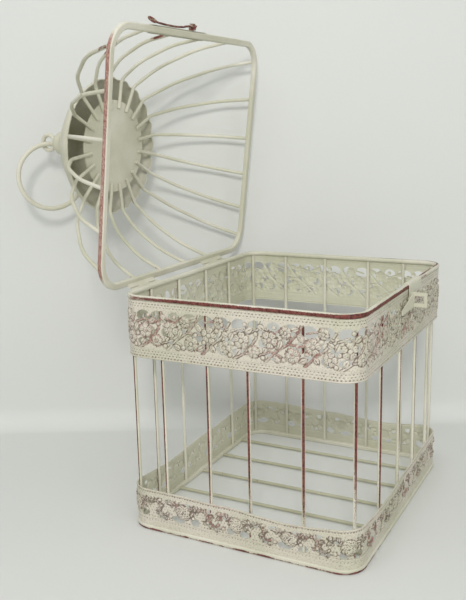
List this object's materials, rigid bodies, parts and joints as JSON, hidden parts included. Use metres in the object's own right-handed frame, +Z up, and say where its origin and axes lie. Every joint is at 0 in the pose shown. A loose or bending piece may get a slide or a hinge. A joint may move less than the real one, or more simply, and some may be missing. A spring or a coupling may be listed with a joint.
{
  "type": "wedding card box",
  "caption": "Rounded-rectangular wire card box with pierced bands, a hinged bird-cage dome lid, a swinging latch hook and a loose carry ring.",
  "frame": {"origin": "centre of the base's footprint, on the surface it stands on", "axes": "+Z up, +X along the hinge line, -Y towards the latch side, +Y towards the hinge side where the open lid stands"},
  "size_m": [0.2724, 0.438, 0.4499],
  "materials": {
    "worn_rim_paint": "chipped cream paint over red-brown primer, satin",
    "band_paint": "cream paint rubbed back to red-brown on the embossing, satin",
    "upright_paint": "cream paint with red-brown wear streaks, satin",
    "floor_wire_paint": "cream paint, satin",
    "hardware_paint": "cream paint, satin",
    "lid_frame_paint": "cream paint with a rubbed red-brown edge, satin",
    "rib_paint": "cream to sage paint, satin",
    "cap_paint": "cream to sage paint, satin",
    "hook_metal": "red-brown worn paint, satin",
    "ring_paint": "cream to sage paint, satin"
  },
  "bodies": {
    "box": {"top_rim": "worn_rim_paint", "base_rim": "worn_rim_paint", "top_band": "band_paint", "base_band": "band_paint", "upright_01": "upright_paint", "upright_02": "upright_paint", "upright_03": "upright_paint", "upright_04": "upright_paint", "upright_05": "upright_paint", "upright_06": "upright_paint", "upright_07": "upright_paint", "upright_08": "upright_paint", "upright_09": "upright_paint", "upright_10": "upright_paint", "upright_11": "upright_paint", "upright_12": "upright_paint", "upright_13": "upright_paint", "upright_14": "upright_paint", "upright_15": "upright_paint", "upright_16": "upright_paint", "upright_17": "upright_paint", "upright_18": "upright_paint", "upright_19": "upright_paint", "upright_20": "upright_paint", "floor_wire_1": "floor_wire_paint", "floor_wire_2": "floor_wire_paint", "floor_wire_3": "floor_wire_paint", "floor_wire_4": "floor_wire_paint", "floor_wire_5": "floor_wire_paint", "keeper_plate": "hardware_paint", "hinge_leaves_box": "hardware_paint", "hinge_pins": "hardware_paint"},
    "lid": {"lid_frame": "lid_frame_paint", "lid_rib_01": "rib_paint", "lid_rib_02": "rib_paint", "lid_rib_03": "rib_paint", "lid_rib_04": "rib_paint", "lid_rib_05": "rib_paint", "lid_rib_06": "rib_paint", "lid_rib_07": "rib_paint", "lid_rib_08": "rib_paint", "lid_rib_09": "rib_paint", "lid_rib_10": "rib_paint", "lid_rib_11": "rib_paint", "lid_rib_12": "rib_paint", "lid_rib_13": "rib_paint", "lid_rib_14": "rib_paint", "lid_rib_15": "rib_paint", "lid_rib_16": "rib_paint", "lid_rib_17": "rib_paint", "lid_rib_18": "rib_paint", "lid_rib_19": "rib_paint", "lid_rib_20": "rib_paint", "inner_plate": "cap_paint", "dome_cap": "cap_paint", "finial_eyelet": "cap_paint", "hinge_leaves_lid": "hardware_paint", "hook_pin": "hook_metal"},
    "hook": {"latch_hook": "hook_metal"},
    "ring": {"carry_ring": "ring_paint"}
  },
  "joints": [
    {"name": "lid_hinge", "type": "hinge", "parent": "box", "child": "lid", "pos_m": [0, 0.1167, 0.2123], "axis": [1, 0, 0], "range_deg": [0, 83.3]},
    {"name": "hook_pivot", "type": "hinge", "parent": "lid", "child": "hook", "pos_m": [-0.005, 0.09851, 0.44517], "axis": [0, -0.1167, 0.9932], "range_deg": [-60, 92]},
    {"name": "ring_swing", "type": "hinge", "parent": "lid", "child": "ring", "pos_m": [0.00738, 0.28727, 0.3424], "axis": [1, 0, 0], "range_deg": [-30, 175]}
  ]
}
